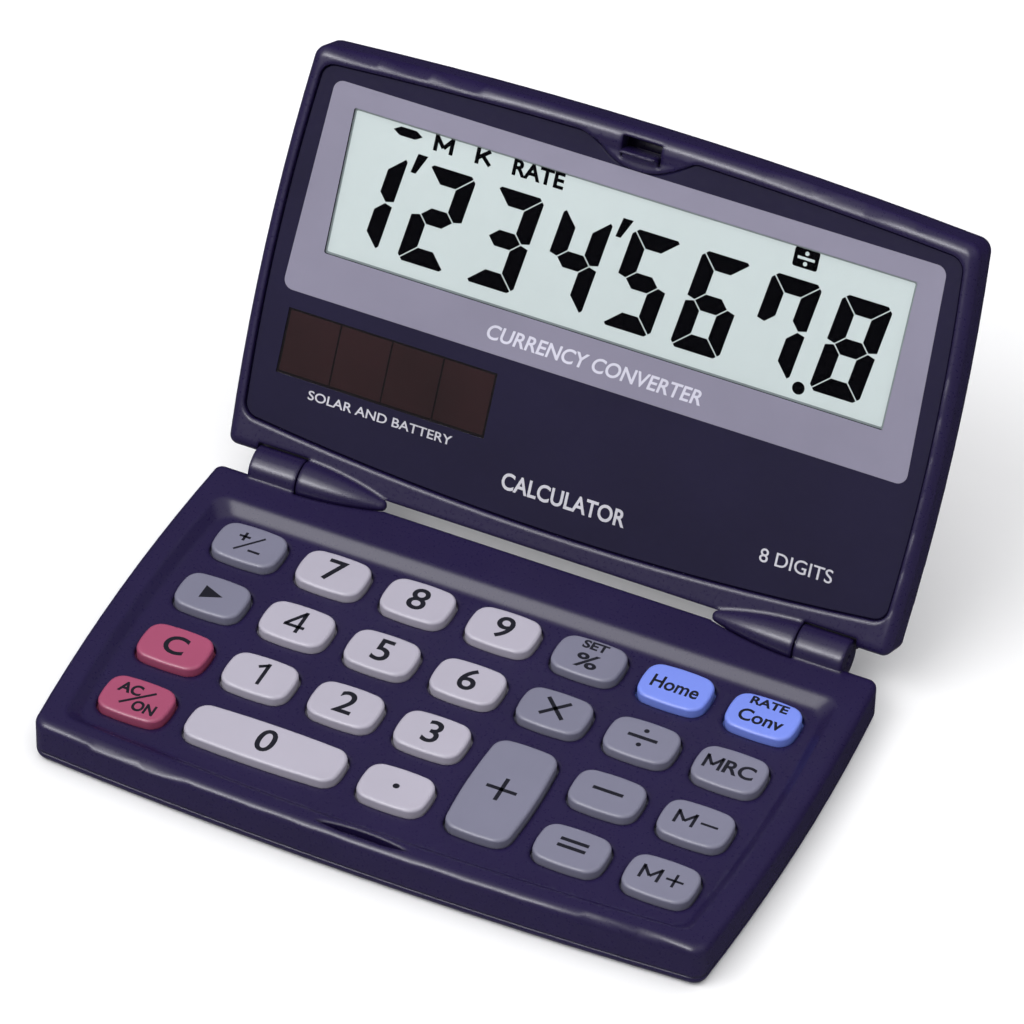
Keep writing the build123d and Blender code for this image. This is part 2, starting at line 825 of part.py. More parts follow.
display_pieces = {
    "display_front_case": make_display_front(),
    "display_rear_case": make_display_rear(),
    "lens_panel": make_lens(),
    "lcd_glass": make_lcd_glass(),
    "lcd_front_polarizer": lcd_sheet(lcd_top, lcd_top + film),
    "lcd_reflector": lcd_sheet(lcd_top - 2 * lcd_glass - film, lcd_top - 2 * lcd_glass),
    "lcd_cushion": lcd_sheet(cover_inner + 0.02, lcd_top - 2 * lcd_glass - film),
    "zebra_strip": plate(
        display_side, -34, 34, zebra_near, zebra_far, main_board_top, lcd_top - lcd_glass
    ),
    "solar_cell": plate(
        display_side,
        solar_x - solar_width / 2,
        solar_x + solar_width / 2,
        solar_s - solar_height / 2,
        solar_s + solar_height / 2,
        solar_top - solar_thickness,
        solar_top,
    ),
    "solar_leads": make_solar_leads(),
    "main_board": make_main_board(),
    "film_tail_display": plate(
        display_side, 24, 30, 4.6, main_board_near + 0.8, main_board_top, main_board_top + 0.12
    ),
    "chip_cover": Pos(spot(display_side, 0, 14.5, main_board_top))
    * Cylinder(4.2, 0.9, align=(Align.CENTER, Align.CENTER, Align.MIN)),
    "board_components": make_board_components(),
    "button_cell": make_button_cell(),
    "cell_contact_positive": make_positive_contact(),
    "cell_contact_negative": make_negative_contact(),
    "display_screws": Compound(
        children=[make_screw(place, display_screw_end) for place in display_screw_places]
    ),
}

for name, piece in display_pieces.items():
    pieces[name] = to_rest(piece)

for name, piece in pieces.items():
    export_step(piece, f"parts/{name}.step")
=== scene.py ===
import json
from math import atan2, cos, pi, radians, sin

import bmesh
import bpy
from mathutils import Matrix, Vector


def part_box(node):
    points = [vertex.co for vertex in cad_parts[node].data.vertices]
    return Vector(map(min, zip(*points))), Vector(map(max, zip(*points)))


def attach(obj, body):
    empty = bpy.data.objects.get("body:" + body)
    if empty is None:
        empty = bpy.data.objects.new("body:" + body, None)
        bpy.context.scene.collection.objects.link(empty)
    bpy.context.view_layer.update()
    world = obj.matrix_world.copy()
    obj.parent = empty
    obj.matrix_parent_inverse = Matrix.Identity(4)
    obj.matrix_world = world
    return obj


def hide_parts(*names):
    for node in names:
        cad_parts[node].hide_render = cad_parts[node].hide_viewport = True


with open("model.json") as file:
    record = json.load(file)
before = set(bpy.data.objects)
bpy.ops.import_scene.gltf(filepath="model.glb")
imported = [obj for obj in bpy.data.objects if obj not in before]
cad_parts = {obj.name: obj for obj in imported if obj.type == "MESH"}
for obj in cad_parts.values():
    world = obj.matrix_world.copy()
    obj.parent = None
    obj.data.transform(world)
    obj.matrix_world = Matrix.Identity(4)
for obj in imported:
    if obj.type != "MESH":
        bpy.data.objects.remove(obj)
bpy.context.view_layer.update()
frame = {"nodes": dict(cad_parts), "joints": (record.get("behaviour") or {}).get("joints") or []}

# A folding pocket calculator. The housings, keys and hinges are the CAD nodes with better materials.
# Here are added the printed panel with its windows, the display, the solar cell and every printed legend.
# Sizes are in millimetres, turned into metres by MM. A place on the display leaf is given as x, as s,
# its distance from the hinge axis, and as a height above the back of the leaf as it lies flat.

MM = 0.001
nodes = frame["nodes"]
hinge = next(joint for joint in frame["joints"] if joint["name"] == "display_hinge")
hinge_at = Vector(hinge["pos_m"])
rest_tilt = radians(-hinge["range_deg"][0])
tilt = Matrix.Rotation(rest_tilt, 4, "X")
display_place = Matrix.Translation(hinge_at) @ tilt @ Matrix.Translation((0, 0, -hinge_at.z))

panel_below_axis = 0.55
panel_face = hinge_at.z / MM - panel_below_axis
print_height = 0.012
print_sink = 0.01
window_x = 37.0
window_low = 28.43
window_high = 47.16
solar_low = 12.04
solar_high = 20.51
solar_left = -39.97
solar_right = -11.71


# ---------------------------------------------------------------- materials
cloud_scale = 90
noise_low = 0.3
noise_high = 0.7
grain_strength = 0.6
soften_samples = 8
coat_roughness = 0.06


def shader(name):
    """A new material, its node tree and its Principled node."""
    material = bpy.data.materials.new(name)
    material.use_nodes = True
    tree = material.node_tree
    return material, tree, tree.nodes["Principled BSDF"]


def noise(tree, scale, detail=3.0, stretch=(1, 1, 1)):
    """Noise in the object's own space, so its scale is in cycles per metre."""
    place = tree.nodes.new("ShaderNodeTexCoord")
    mapping = tree.nodes.new("ShaderNodeMapping")
    mapping.inputs["Scale"].default_value = stretch
    texture = tree.nodes.new("ShaderNodeTexNoise")
    texture.inputs["Scale"].default_value = scale
    texture.inputs["Detail"].default_value = detail
    tree.links.new(place.outputs["Object"], mapping.inputs["Vector"])
    tree.links.new(mapping.outputs["Vector"], texture.inputs["Vector"])
    return texture.outputs["Fac"]


def spread(tree, value, low, high):
    """Maps a noise value onto the range low to high."""
    node = tree.nodes.new("ShaderNodeMapRange")
    node.inputs["From Min"].default_value = noise_low
    node.inputs["From Max"].default_value = noise_high
    node.inputs["To Min"].default_value = low
    node.inputs["To Max"].default_value = high
    tree.links.new(value, node.inputs["Value"])
    return node.outputs["Result"]


def tones(tree, value, dark, light):
    """Mixes two colours by a noise value."""
    ramp = tree.nodes.new("ShaderNodeValToRGB")
    ramp.color_ramp.elements[0].position = noise_low
    ramp.color_ramp.elements[0].color = (*dark, 1)
    ramp.color_ramp.elements[1].position = noise_high
    ramp.color_ramp.elements[1].color = (*light, 1)
    tree.links.new(value, ramp.inputs["Fac"])
    return ramp.outputs["Color"]


def bump(tree, value, depth, soften=0.0):
    """A bump of the given depth in metres, on normals softened over a given radius."""
    node = tree.nodes.new("ShaderNodeBump")
    node.inputs["Strength"].default_value = grain_strength
    node.inputs["Distance"].default_value = depth
    tree.links.new(value, node.inputs["Height"])
    if soften:
        rounding = tree.nodes.new("ShaderNodeBevel")
        rounding.samples = soften_samples
        rounding.inputs["Radius"].default_value = soften
        tree.links.new(rounding.outputs["Normal"], node.inputs["Normal"])
    return node.outputs["Normal"]


def scaled(colour, factor):
    """A colour made darker or lighter."""
    return tuple(min(1.0, part * factor) for part in colour)


def surface(
    name,
    colour,
    roughness,
    grain,
    depth,
    vary=0.1,
    coat=0.0,
    metallic=0.0,
    stretch=(1, 1, 1),
    shine=0.5,
    soften=0.0,
):
    """A moulded or coated surface: mottled colour, uneven gloss and a fine grain of some depth in metres."""
    material, tree, node = shader(name)
    cloud = noise(tree, cloud_scale, 4)
    fine = noise(tree, grain, 3, stretch)
    low, high = roughness
    mottled = tones(tree, cloud, scaled(colour, 1 - vary), scaled(colour, 1 + vary))
    tree.links.new(mottled, node.inputs["Base Color"])
    tree.links.new(spread(tree, fine, low, high), node.inputs["Roughness"])
    tree.links.new(bump(tree, fine, depth, soften), node.inputs["Normal"])
    node.inputs["Metallic"].default_value = metallic
    node.inputs["Specular IOR Level"].default_value = shine
    node.inputs["Coat Weight"].default_value = coat
    node.inputs["Coat Roughness"].default_value = coat_roughness
    return material


case = surface(
    "case_plastic",
    (0.0135, 0.008, 0.046),
    (0.26, 0.34),
    2600,
    0.000003,
    vary=0.06,
    shine=0.36,
    soften=0.0008,
)
key_light = surface("key_light", (0.42, 0.395, 0.475), (0.38, 0.5), 5200, 0.000006, vary=0.03)
key_grey = surface("key_grey", (0.18, 0.178, 0.25), (0.38, 0.5), 5200, 0.000006, vary=0.04)
key_red = surface("key_red", (0.34, 0.062, 0.135), (0.36, 0.48), 5200, 0.000006, vary=0.05)
key_blue = surface("key_blue", (0.18, 0.255, 0.79), (0.36, 0.48), 5200, 0.000006, vary=0.04)
legend_ink = surface("legend_ink", (0.008, 0.008, 0.015), (0.4, 0.6), 9000, 0.000002, shine=0.2)
panel_ink = surface("panel_print", (0.0105, 0.008, 0.031), (0.1, 0.16), 1500, 0.000001, vary=0.08, shine=0.4)
bezel_ink = surface("bezel_print", (0.22, 0.207, 0.285), (0.3, 0.42), 9000, 0.000002, vary=0.05, shine=0.3)
silver_ink = surface("silver_ink", (0.55, 0.54, 0.6), (0.3, 0.45), 9000, 0.000002, coat=0.5)
lilac_ink = surface("lilac_ink", (0.6, 0.59, 0.7), (0.35, 0.5), 9000, 0.000002, coat=0.5)
lcd_pale = surface("lcd_pale", (0.61, 0.7, 0.7), (0.45, 0.6), 14000, 0.000002, vary=0.015)
# A dark grey-green colour for painted shade: the shadow of the window's edge on the display is painted on.
lcd_painted_shade = surface("lcd_painted_shade", (0.2, 0.25, 0.26), (0.5, 0.6), 9000, 0.000002)
lcd_dark = surface("lcd_dark", (0.002, 0.002, 0.003), (0.5, 0.6), 9000, 0.000001, shine=0.0)
solar_dark = surface("solar_border", (0.006, 0.003, 0.005), (0.15, 0.25), 5000, 0.000001, shine=0.25)
solar_film = surface("solar_film", (0.024, 0.007, 0.009), (0.4, 0.5), 7000, 0.000002, vary=0.2, shine=0.1)
silicone = surface("silicone", (0.25, 0.26, 0.28), (0.55, 0.7), 3000, 0.00001)
board_green = surface("board_green", (0.03, 0.17, 0.06), (0.3, 0.45), 2500, 0.00001, vary=0.25, coat=0.4)
foam = surface("foam", (0.03, 0.03, 0.032), (0.85, 0.95), 6000, 0.00006, vary=0.3)
resin = surface("resin", (0.008, 0.008, 0.009), (0.12, 0.25), 1800, 0.00002, coat=0.6)
component = surface("component", (0.3, 0.21, 0.12), (0.4, 0.6), 4000, 0.00001, vary=0.3)
amber_film = surface("amber_film", (0.45, 0.2, 0.04), (0.25, 0.4), 3000, 0.000004)
steel = surface("steel", (0.55, 0.55, 0.56), (0.22, 0.38), 3000, 0.000004, metallic=1.0, stretch=(1, 8, 8))
nickel = surface("nickel", (0.6, 0.57, 0.51), (0.25, 0.4), 4000, 0.000003, metallic=1.0)
label = surface("label", (0.42, 0.42, 0.45), (0.35, 0.5), 5000, 0.000004, stretch=(1, 14, 1))
glass = surface("lcd_glass", (0.55, 0.62, 0.6), (0.05, 0.1), 900, 0.000001, coat=1.0)


def clear_pane():
    """The clear stretch of the panel over a window."""
    material, tree, node = shader("clear_pane")
    node.inputs["Base Color"].default_value = (0.0, 0.0, 0.0, 1)
    node.inputs["Roughness"].default_value = 0.03
    node.inputs["Alpha"].default_value = 0.05
    return material


def assign(names, material):
    """Gives CAD nodes a material."""
    for name in names:
        if not nodes[name].material_slots:
            nodes[name].data.materials.append(material)
        for slot in nodes[name].material_slots:
            slot.material = material


digit_keys = [f"key_{digit}" for digit in range(10)]
assign(["base_upper_case", "base_lower_case", "display_front_case", "display_rear_case"], case)
assign([name for name in nodes if name.startswith("key_")], key_grey)
assign([*digit_keys, "key_point"], key_light)
assign(["key_clear", "key_all_clear"], key_red)
assign(["key_local", "key_exchange"], key_blue)
assign(["key_mat", "zebra_strip"], silicone)
assign(["contact_board", "main_board"], board_green)
assign(["lcd_cushion"], foam)
assign(["chip_cover"], resin)
assign(["board_components"], component)
assign(["film_tail_base", "film_tail_display"], amber_film)
assign(["hinge_pin_left", "hinge_pin_right", "base_screws", "display_screws", "button_cell"], steel)
assign(["cell_contact_positive", "cell_contact_negative", "solar_leads"], nickel)
assign(["rating_label"], label)
assign(["lcd_glass", "lcd_front_polarizer"], glass)
assign(["lcd_reflector"], lcd_pale)


# ---------------------------------------------------------------- shapes, drawn flat in x and y
def prism(mesh, outline, bottom=-print_sink, top=print_height):
    """Adds a closed prism on an outline to a bmesh."""
    low = [mesh.verts.new((x, y, bottom)) for x, y in outline]
    high = [mesh.verts.new((x, y, top)) for x, y in outline]
    mesh.faces.new(low[::-1])
    mesh.faces.new(high)
    count = len(outline)
    for i in range(count):
        j = (i + 1) % count
        mesh.faces.new((low[i], low[j], high[j], high[i]))


def ring(mesh, outer, inner, bottom=-print_sink, top=print_height):
    """Adds a closed flat ring between two outlines with equal numbers of points."""
    loops = [[mesh.verts.new((x, y, z)) for x, y in line] for line in (outer, inner) for z in (bottom, top)]
    outer_low, outer_high, inner_low, inner_high = loops
    count = len(outer)
    for i in range(count):
        j = (i + 1) % count
        mesh.faces.new((outer_low[i], outer_low[j], outer_high[j], outer_high[i]))
        mesh.faces.new((outer_high[i], outer_high[j], inner_high[j], inner_high[i]))
        mesh.faces.new((inner_high[i], inner_high[j], inner_low[j], inner_low[i]))
        mesh.faces.new((inner_low[i], inner_low[j], outer_low[j], outer_low[i]))


def rounded(corners, radius, steps=8):
    """A four-sided outline, counter-clockwise, with round corners."""
    outline = []
    for i, corner in enumerate(corners):
        here = Vector(corner)
        back = (Vector(corners[i - 1]) - here).normalized()
        ahead = (Vector(corners[(i + 1) % len(corners)]) - here).normalized()
        half = back.angle(ahead) / 2
        reach = radius / sin(half)
        middle = here + (back + ahead).normalized() * reach
        start = (here + back * reach * cos(half)) - middle
        end = (here + ahead * reach * cos(half)) - middle
        for k in range(steps + 1):
            outline.append(tuple(middle + start.slerp(end, k / steps).normalized() * radius))
    return outline


def rectangle(left, right, low, high, radius):
    """A rectangular outline with round corners."""
    return rounded([(left, low), (right, low), (right, high), (left, high)], radius)


def bar(mesh, x, y, length, thickness, angle=0.0):
    """A straight stroke about x, y."""
    turn = Matrix.Rotation(radians(angle), 2)
    end = length / 2
    side = thickness / 2
    corners = [(-end, -side), (end, -side), (end, side), (-end, side)]
    prism(mesh, [tuple(turn @ Vector(corner) + Vector((x, y))) for corner in corners])


def line(mesh, start, end, thickness):
    """A straight stroke between two points."""
    along = Vector(end) - Vector(start)
    centre = (Vector(start) + Vector(end)) / 2
    bar(mesh, centre.x, centre.y, along.length, thickness, atan2(along.y, along.x) * 180 / pi)


def letter_m(mesh, x, y, height, width, thickness):
    """A capital M of straight strokes, centred on x, y."""
    side = width / 2 - thickness / 2
    top = y + height / 2
    for hand in (-1, 1):
        bar(mesh, x + hand * side, y, height, thickness, 90)
        line(mesh, (x + hand * side, top - thickness / 2), (x, y - height * 0.22), thickness)


def disc(mesh, x, y, radius, steps=24):
    """A round dot about x, y."""
    angles = [2 * pi * k / steps for k in range(steps)]
    prism(mesh, [(x + radius * cos(angle), y + radius * sin(angle)) for angle in angles])


def write(mesh, text, x, y, height, width=None, weight=0.0, slant=0.0):
    """Adds lettering as thin prisms, its box centred on x, y and scaled to a height and width."""
    curve = bpy.data.curves.new("lettering", "FONT")
    curve.body = text
    curve.extrude = 0.1
    curve.offset = weight
    curve.shear = slant
    curve.resolution_u = 5
    holder = bpy.data.objects.new("lettering", curve)
    bpy.context.scene.collection.objects.link(holder)
    graph = bpy.context.evaluated_depsgraph_get()
    letters = bpy.data.meshes.new_from_object(holder.evaluated_get(graph))
    bpy.data.objects.remove(holder)
    xs = [v.co.x for v in letters.vertices]
    ys = [v.co.y for v in letters.vertices]
    middle_x = (max(xs) + min(xs)) / 2
    middle_y = (max(ys) + min(ys)) / 2
    scale_y = height / (max(ys) - min(ys))
    scale_x = width / (max(xs) - min(xs)) if width else scale_y
    for v in letters.vertices:
        v.co.x = x + (v.co.x - middle_x) * scale_x
        v.co.y = y + (v.co.y - middle_y) * scale_y
        v.co.z = print_height if v.co.z > 0 else -print_sink
    mesh.from_mesh(letters)
    bpy.data.meshes.remove(letters)


weld_distance = 0.0005


def piece(name, mesh, place, material, body):
    """Turns a bmesh in millimetres into a piece at a place, riding on a body."""
    bmesh.ops.remove_doubles(mesh, verts=mesh.verts, dist=weld_distance)
    bmesh.ops.recalc_face_normals(mesh, faces=mesh.faces)
    bmesh.ops.transform(mesh, matrix=place @ Matrix.Scale(MM, 4), verts=mesh.verts)
    data = bpy.data.meshes.new(name)
    mesh.to_mesh(data)
    mesh.free()
    thing = bpy.data.objects.new(name, data)
    bpy.context.scene.collection.objects.link(thing)
    data.materials.append(material)
    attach(thing, body)
    return thing


# ---------------------------------------------------------------- key legends, drawn about the middle of a key
operator_stroke = 0.52
operator_lift = 0.2
small_stroke = 0.36
digit_height = 3.8
digit_lift = 0.2
digit_stroke = 0.48
memory_height = 2.25
memory_lift = 0.15
memory_stroke = 0.4
memory_sign_x = 1.65
memory_sign_length = 2.2
memory_sign_stroke = 0.34


def draw_sign(mesh):
    for angle in (0, 90):
        bar(mesh, -1.05, 0.95, 1.5, small_stroke, angle)
    bar(mesh, 0, 0, 4.3, 0.3, 48)
    bar(mesh, 1.1, -1.15, 1.6, small_stroke)


def draw_plus(mesh):
    for angle in (0, 90):
        bar(mesh, 0, 0, 3.9, operator_stroke, angle)


def draw_minus(mesh):
    bar(mesh, 0, operator_lift, 3.9, operator_stroke)


def draw_multiply(mesh):
    for angle in (45, -45):
        bar(mesh, 0, operator_lift, 4.2, operator_stroke, angle)


def draw_divide(mesh):
    bar(mesh, 0, operator_lift, 3.8, operator_stroke)
    for y in (1.45, -1.05):
        disc(mesh, 0, y, 0.33)


def draw_equals(mesh):
    for y in (0.85, -0.25):
        bar(mesh, 0, y, 3.6, operator_stroke)


def draw_backspace(mesh):
    prism(mesh, [(-1.35, -1.15), (1.35, 0.0), (-1.35, 1.15)])


def draw_point(mesh):
    disc(mesh, 0, 0.1, 0.42)


def draw_one(mesh):
    bar(mesh, 0.35, digit_lift, digit_height, digit_stroke, 90)
    line(mesh, (0.3, digit_lift + 1.6), (-0.75, digit_lift + 0.95), digit_stroke)


def draw_four(mesh):
    bar(mesh, 0.5, digit_lift, digit_height, digit_stroke, 90)
    line(mesh, (0.45, digit_lift + 1.65), (-1.25, digit_lift - 0.8), digit_stroke)
    bar(mesh, -0.1, digit_lift - 0.85, 2.7, digit_stroke)


def draw_percent(mesh):
    write(mesh, "SET", 0, 2.0, 1.4, 3.3, 0.035)
    write(mesh, "%", 0, -0.75, 2.5, 3.0, 0.02)


def draw_local(mesh):
    write(mesh, "Home", 0, -0.1, 2.15, 6.1, 0.02)


def draw_exchange(mesh):
    write(mesh, "RATE", 0, 1.95, 1.35, 4.8, 0.035)
    write(mesh, "Conv", 0, -0.75, 2.1, 5.7, 0.022)


def draw_recall(mesh):
    letter_m(mesh, -2.2, memory_lift, memory_height, 2.3, memory_stroke)
    write(mesh, "RC", 1.15, memory_lift, memory_height, 3.9, 0.025)


def draw_memory_minus(mesh):
    letter_m(mesh, -1.4, memory_lift, memory_height, 2.6, memory_stroke)
    bar(mesh, memory_sign_x, memory_lift, memory_sign_length, memory_sign_stroke)


def draw_memory_plus(mesh):
    draw_memory_minus(mesh)
    bar(mesh, memory_sign_x, memory_lift, memory_sign_length, memory_sign_stroke, 90)


def draw_clear(mesh):
    write(mesh, "C", 0, 0.1, 3.2, 2.9, 0.02)


def draw_all_clear(mesh):
    write(mesh, "AC", -1.35, 1.1, 1.8, 3.0, 0.035)
    bar(mesh, 0.1, 0, 4.7, small_stroke, 42)
    write(mesh, "ON", 1.5, -1.25, 1.8, 3.0, 0.035)


drawings = {
    "key_1": draw_one,
    "key_4": draw_four,
    "key_sign": draw_sign,
    "key_plus": draw_plus,
    "key_minus": draw_minus,
    "key_multiply": draw_multiply,
    "key_divide": draw_divide,
    "key_equals": draw_equals,
    "key_backspace": draw_backspace,
    "key_point": draw_point,
    "key_percent": draw_percent,
    "key_local": draw_local,
    "key_exchange": draw_exchange,
    "key_memory_recall": draw_recall,
    "key_memory_plus": draw_memory_plus,
    "key_memory_minus": draw_memory_minus,
    "key_clear": draw_clear,
    "key_all_clear": draw_all_clear,
}


for name in dict.fromkeys([*digit_keys, *drawings]):
    low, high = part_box(name)
    mesh = bmesh.new()
    if name in drawings:
        drawings[name](mesh)
    else:
        write(mesh, name[-1], 0, digit_lift, digit_height, weight=0.012)
    place = Matrix.Translation(((low.x + high.x) / 2, (low.y + high.y) / 2, high.z))
    piece(name.replace("key_", "legend_"), mesh, place, legend_ink, name)


# ---------------------------------------------------------------- printed panel and its windows
def at_height(height):
    """The place of a flat drawing at a height on the display leaf."""
    return display_place @ Matrix.Translation((0, 0, height * MM))


def display_outline(inset, radius):
    """The display window, moved in by an inset."""
    return rectangle(-window_x + inset, window_x - inset, window_low + inset, window_high - inset, radius)


def solar_outline(inset, radius):
    """The solar window, moved in by an inset."""
    return rectangle(solar_left + inset, solar_right - inset, solar_low + inset, solar_high - inset, radius)


window_edge = display_outline(0, 0.3)
solar_edge = solar_outline(0, 0.06)
cutter_reach = 3
sharp_angle = radians(20)


def cut_panel():
    """The CAD panel with the two windows cut out of its print."""
    panel = bpy.data.objects.new("printed_panel", nodes["lens_panel"].data.copy())
    bpy.context.scene.collection.objects.link(panel)
    mesh = bmesh.new()
    prism(mesh, window_edge, -cutter_reach, cutter_reach)
    prism(mesh, solar_edge, -cutter_reach, cutter_reach)
    bmesh.ops.transform(mesh, matrix=at_height(panel_face) @ Matrix.Scale(MM, 4), verts=mesh.verts)
    data = bpy.data.meshes.new("cutter")
    mesh.to_mesh(data)
    mesh.free()
    cutter = bpy.data.objects.new("cutter", data)
    bpy.context.scene.collection.objects.link(cutter)
    cut = panel.modifiers.new("windows", "BOOLEAN")
    cut.operation = "DIFFERENCE"
    cut.solver = "EXACT"
    cut.object = cutter
    graph = bpy.context.evaluated_depsgraph_get()
    panel.data = bpy.data.meshes.new_from_object(panel.evaluated_get(graph))
    panel.modifiers.clear()
    if "custom_normal" in panel.data.attributes:
        panel.data.attributes.remove(panel.data.attributes["custom_normal"])
    panel.data.shade_smooth()
    panel.data.set_sharp_from_angle(angle=sharp_angle)
    bpy.data.objects.remove(cutter)
    panel.data.materials.clear()
    panel.data.materials.append(panel_ink)
    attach(panel, "display")
    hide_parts("lens_panel")


cut_panel()

# The bezel narrows towards the top.
bezel_corners = [(-41.4, 22.7), (41.4, 22.7), (40.15, 49.95), (-40.15, 49.95)]
mesh = bmesh.new()
ring(mesh, rounded(bezel_corners, 1.3), window_edge)
piece("bezel_print", mesh, at_height(panel_face), bezel_ink, "display")

mesh = bmesh.new()
write(mesh, "CURRENCY CONVERTER", 0, 25.35, 1.95, 28.4, 0.016, 0.2)
piece("bezel_lettering", mesh, at_height(panel_face + print_height), lilac_ink, "display")

mesh = bmesh.new()
write(mesh, "SOLAR AND BATTERY", -25.4, 10.5, 1.2, 19.5, 0.01)
write(mesh, "CALCULATOR", 0, 7.8, 2.2, 16.5, 0.02)
write(mesh, "8 DIGITS", 30.5, 9.0, 1.75, 9.5, 0.004)
piece("panel_lettering", mesh, at_height(panel_face), silver_ink, "display")

# ---------------------------------------------------------------- liquid crystal display
lcd_height = panel_face - 0.3
lcd_bottom = panel_face - 1.5
margin = 0.02
painted_shade_width = 0.28
lcd_outline = display_outline(margin, 0.28)
mesh = bmesh.new()
prism(mesh, lcd_outline, lcd_bottom - lcd_height, 0)
lcd_face = piece("lcd_face", mesh, at_height(lcd_height), lcd_pale, "display")
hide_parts("lcd_front_polarizer")

# A ring of painted shade round the edge of the display, standing in for the shadow cast by the window's edge.
mesh = bmesh.new()
ring(mesh, lcd_outline, display_outline(painted_shade_width, 0.2))
piece("lcd_painted_shade", mesh, at_height(lcd_height), lcd_painted_shade, "display")

# A digit is drawn upright from its lower left corner, then set at digit_low and slanted by lean.
digit_width = 6.6
digit_size = 12.8
digit_low = 30.4
digit_pitch = 9.1
last_digit = 26.7
stroke = 2.25
corner_cut = 0.75
segment_gap = 0.07
lean = 0.13
middle = digit_size / 2
waist = 0.3


def mirror_x(outline):
    return [(digit_width - x, y) for x, y in outline][::-1]


def mirror_y(outline):
    return [(x, digit_size - y) for x, y in outline][::-1]


segment_top = [
    (corner_cut, digit_size),
    (corner_cut / 2, digit_size - corner_cut / 2),
    (stroke, digit_size - stroke),
    (digit_width - stroke, digit_size - stroke),
    (digit_width - corner_cut / 2, digit_size - corner_cut / 2),
    (digit_width - corner_cut, digit_size),
]
segment_upper_left = [
    (0, digit_size - corner_cut),
    (0, middle + waist),
    (stroke / 2, middle),
    (stroke, middle + stroke / 2),
    (stroke, digit_size - stroke),
    (corner_cut / 2, digit_size - corner_cut / 2),
]
segment_middle = [
    (stroke / 2, middle),
    (stroke, middle - stroke / 2),
    (digit_width - stroke, middle - stroke / 2),
    (digit_width - stroke / 2, middle),
    (digit_width - stroke, middle + stroke / 2),
    (stroke, middle + stroke / 2),
]
segments = {
    "a": segment_top,
    "b": mirror_x(segment_upper_left),
    "c": mirror_y(mirror_x(segment_upper_left)),
    "d": mirror_y(segment_top),
    "e": mirror_y(segment_upper_left),
    "f": segment_upper_left,
    "g": segment_middle,
}
lit = {
    "1": "bc",
    "2": "abged",
    "3": "abgcd",
    "4": "fgbc",
    "5": "afgcd",
    "6": "afgcde",
    "7": "fabc",
    "8": "abcdefg",
}
shown = "12345678"


def shrunk(outline, gap):
    """A convex outline with every side moved in by gap."""
    lines = []
    for i, point in enumerate(outline):
        start = Vector(point)
        along = (Vector(outline[(i + 1) % len(outline)]) - start).normalized()
        lines.append((start + Vector((-along.y, along.x)) * gap, along))
    result = []
    for i, (start, along) in enumerate(lines):
        before, back = lines[i - 1]
        across = back.x * along.y - back.y * along.x
        offset = start - before
        reach = (offset.x * along.y - offset.y * along.x) / across
        result.append(tuple(before + back * reach))
    return result


def leaning(outline, left):
    """Moves an outline onto the display, leaning to the right."""
    return [(left + x + lean * y, digit_low + y) for x, y in outline]


def digit_left(place):
    """The left edge of a digit, counted from the left."""
    return last_digit - (len(shown) - 1 - place) * digit_pitch


mesh = bmesh.new()
for place, digit in enumerate(shown):
    for segment in lit[digit]:
        prism(mesh, leaning(shrunk(segments[segment], segment_gap), digit_left(place)))
# Ticks stand before the second and fifth digits, and the decimal point before the last one.
tick = [(-1.85, 11.0), (-1.15, 11.0), (-0.3, 13.5), (-1.65, 13.5)]
for place in (1, 4):
    prism(mesh, leaning(tick, digit_left(place)))
disc(mesh, last_digit - 1.1, digit_low - 0.2, 0.8)

# The row of signs above the digits: minus, M, K, RATE and a boxed division sign.
sign_y = 45.95
sign_height = 2.1
sign_stroke = 0.52
operator_x = 22.9
operator_y = 45.75
minus = [(-31.6, 46.0), (-30.7, 45.45), (-28.6, 45.45), (-27.7, 46.0), (-28.6, 46.55), (-30.7, 46.55)]
prism(mesh, minus)
letter_m(mesh, -24.8, sign_y, sign_height, 2.6, sign_stroke)
bar(mesh, -20.3, sign_y, sign_height, sign_stroke, 90)
line(mesh, (-20.2, 45.7), (-18.75, 46.85), 0.5)
line(mesh, (-19.7, 46.1), (-18.55, 45.05), 0.5)
write(mesh, "RATE", -12.2, sign_y, sign_height, 6.8, 0.032)
prism(mesh, rectangle(operator_x - 1.6, operator_x + 1.6, operator_y - 1.2, operator_y + 1.2, 0.3))
piece("lcd_segments", mesh, at_height(lcd_height), lcd_dark, "display")

mesh = bmesh.new()
bar(mesh, operator_x, operator_y, 2.2, 0.34)
for lift in (0.65, -0.65):
    disc(mesh, operator_x, operator_y + lift, 0.26)
piece("lcd_operator", mesh, at_height(lcd_height + print_height), lcd_pale, "display")

# ---------------------------------------------------------------- solar cell
solar_face = panel_face - 0.15
solar_bottom = panel_face - 2.4
solar_inner = solar_outline(margin, 0.04)
mesh = bmesh.new()
prism(mesh, solar_inner, solar_bottom - solar_face, 0)
solar_base = piece("solar_border", mesh, at_height(solar_face), solar_dark, "display")
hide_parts("solar_cell")

cell_count = 4
cell_gap = 0.24
cell_low = solar_low + 0.35
cell_high = solar_high - 0.3
cell_rise = 0.03
border = 0.2
cell_pitch = (solar_right - solar_left - 2 * border) / cell_count
mesh = bmesh.new()
for k in range(cell_count):
    start = solar_left + border + k * cell_pitch
    cell = rectangle(start + cell_gap / 2, start + cell_pitch - cell_gap / 2, cell_low, cell_high, 0.05)
    prism(mesh, cell, -print_sink, cell_rise)
piece("solar_cells", mesh, at_height(solar_face), solar_film, "display")

pane = clear_pane()
pane_gap = 0.05
pane_sink = 0.005
for name, outline, height_below in (
    ("display_window", lcd_outline, lcd_height),
    ("solar_window", solar_inner, solar_face),
):
    mesh = bmesh.new()
    prism(mesh, outline, height_below + pane_gap - panel_face, -pane_sink)
    piece(name, mesh, at_height(panel_face), pane, "display")


# ---------------------------------------------------------------- floor, light and camera, in metres
aim = Vector((-0.0101, 0.0389, 0.00075))
floor_reach = 3.0


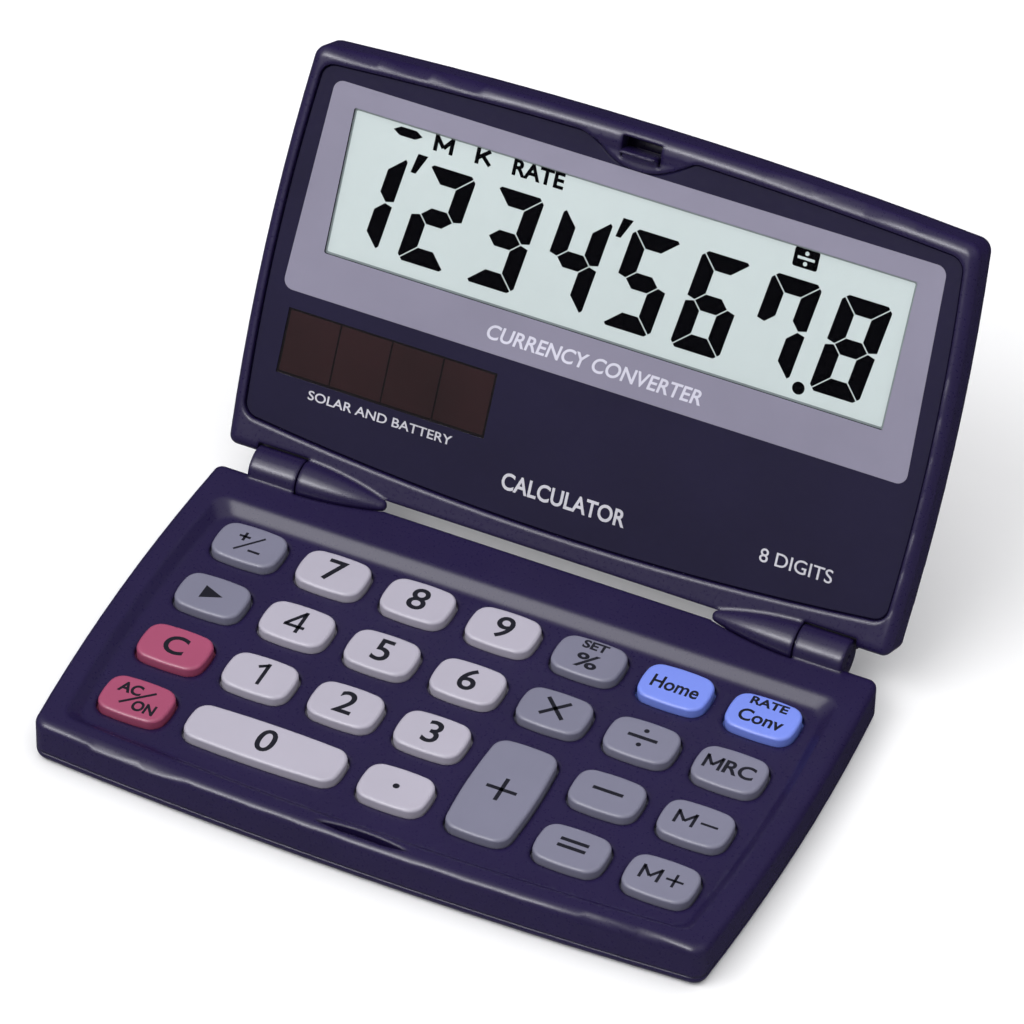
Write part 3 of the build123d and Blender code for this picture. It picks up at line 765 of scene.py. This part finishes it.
def make_floor():
    data = bpy.data.meshes.new("floor")
    corners = [(-floor_reach, -floor_reach), (floor_reach, -floor_reach)]
    corners += [(floor_reach, floor_reach), (-floor_reach, floor_reach)]
    data.from_pydata([(x, y, 0) for x, y in corners], [], [(0, 1, 2, 3)])
    floor = bpy.data.objects.new("floor", data)
    bpy.context.scene.collection.objects.link(floor)
    data.materials.append(surface("floor_paper", (0.93, 0.93, 0.94), (0.7, 0.8), 400, 0.00002, vary=0.005))
    floor.visible_glossy = False


make_floor()


def softbox(name, direction, distance, width, height, power, glossy=True, diffuse=True):
    """A rectangular light that faces the aim from a direction."""
    light = bpy.data.lights.new(name, "AREA")
    light.shape = "RECTANGLE"
    light.size = width
    light.size_y = height
    light.energy = power
    lamp = bpy.data.objects.new(name, light)
    toward = Vector(direction).normalized()
    lamp.location = aim + toward * distance
    lamp.rotation_euler = toward.to_track_quat("Z", "Y").to_euler()
    lamp.visible_glossy = glossy
    lamp.visible_diffuse = diffuse
    bpy.context.scene.collection.objects.link(lamp)


softbox("key_softbox", (-0.3, -0.53, 0.8), 0.8, 0.6, 0.32, 2.6)
softbox("rim_softbox", (-0.298, -0.764, 0.573), 0.8, 0.5, 0.16, 6.0, diffuse=False)
softbox("overhead_fill", (0.1, 0.0, 1.0), 1.2, 1.6, 1.6, 6.0, glossy=False)
softbox("back_fill", (0.3, 0.9, 0.45), 1.2, 1.4, 0.8, 5.0, glossy=False)

# The room is brighter above than below, and bright in front of the calculator but dim behind it.
world = bpy.data.worlds.new("studio")
bpy.context.scene.world = world
world.use_nodes = True
tree = world.node_tree
background = tree.nodes["Background"]
direction = tree.nodes.new("ShaderNodeTexCoord")
split = tree.nodes.new("ShaderNodeSeparateXYZ")
tree.links.new(direction.outputs["Generated"], split.inputs["Vector"])
ramp = tree.nodes.new("ShaderNodeValToRGB")
ramp.color_ramp.elements[0].position = 0.0
ramp.color_ramp.elements[0].color = (0.2, 0.2, 0.22, 1)
ramp.color_ramp.elements[1].position = 0.8
ramp.color_ramp.elements[1].color = (1.0, 1.0, 1.0, 1)
tree.links.new(split.outputs["Z"], ramp.inputs["Fac"])
dim = tree.nodes.new("ShaderNodeMapRange")
dim.inputs["From Min"].default_value = 0.1
dim.inputs["From Max"].default_value = 0.7
dim.inputs["To Min"].default_value = 0.9
dim.inputs["To Max"].default_value = 0.16
tree.links.new(split.outputs["Y"], dim.inputs["Value"])
tree.links.new(ramp.outputs["Color"], background.inputs["Color"])
tree.links.new(dim.outputs["Result"], background.inputs["Strength"])

# The camera stands at azimuth, elevation and camera_distance from the aim, turned by roll.
azimuth = radians(23.89)
elevation = radians(42.55)
roll = radians(1.477)
camera_distance = 0.836
back = Vector((sin(azimuth) * cos(elevation), -cos(azimuth) * cos(elevation), sin(elevation)))
level_right = Vector((cos(azimuth), sin(azimuth), 0))
level_up = back.cross(level_right)
right = cos(roll) * level_right + sin(roll) * level_up
up = back.cross(right)
camera_data = bpy.data.cameras.new("camera")
camera_data.lens = 236.9
camera_data.sensor_width = 36.0
camera_data.clip_end = 20
camera = bpy.data.objects.new("camera", camera_data)
camera_axes = Matrix((right, up, back)).transposed().to_4x4()
camera.matrix_world = Matrix.Translation(aim + back * camera_distance) @ camera_axes
bpy.context.scene.collection.objects.link(camera)
bpy.context.scene.camera = camera
bpy.context.scene.view_settings.view_transform = "Standard"
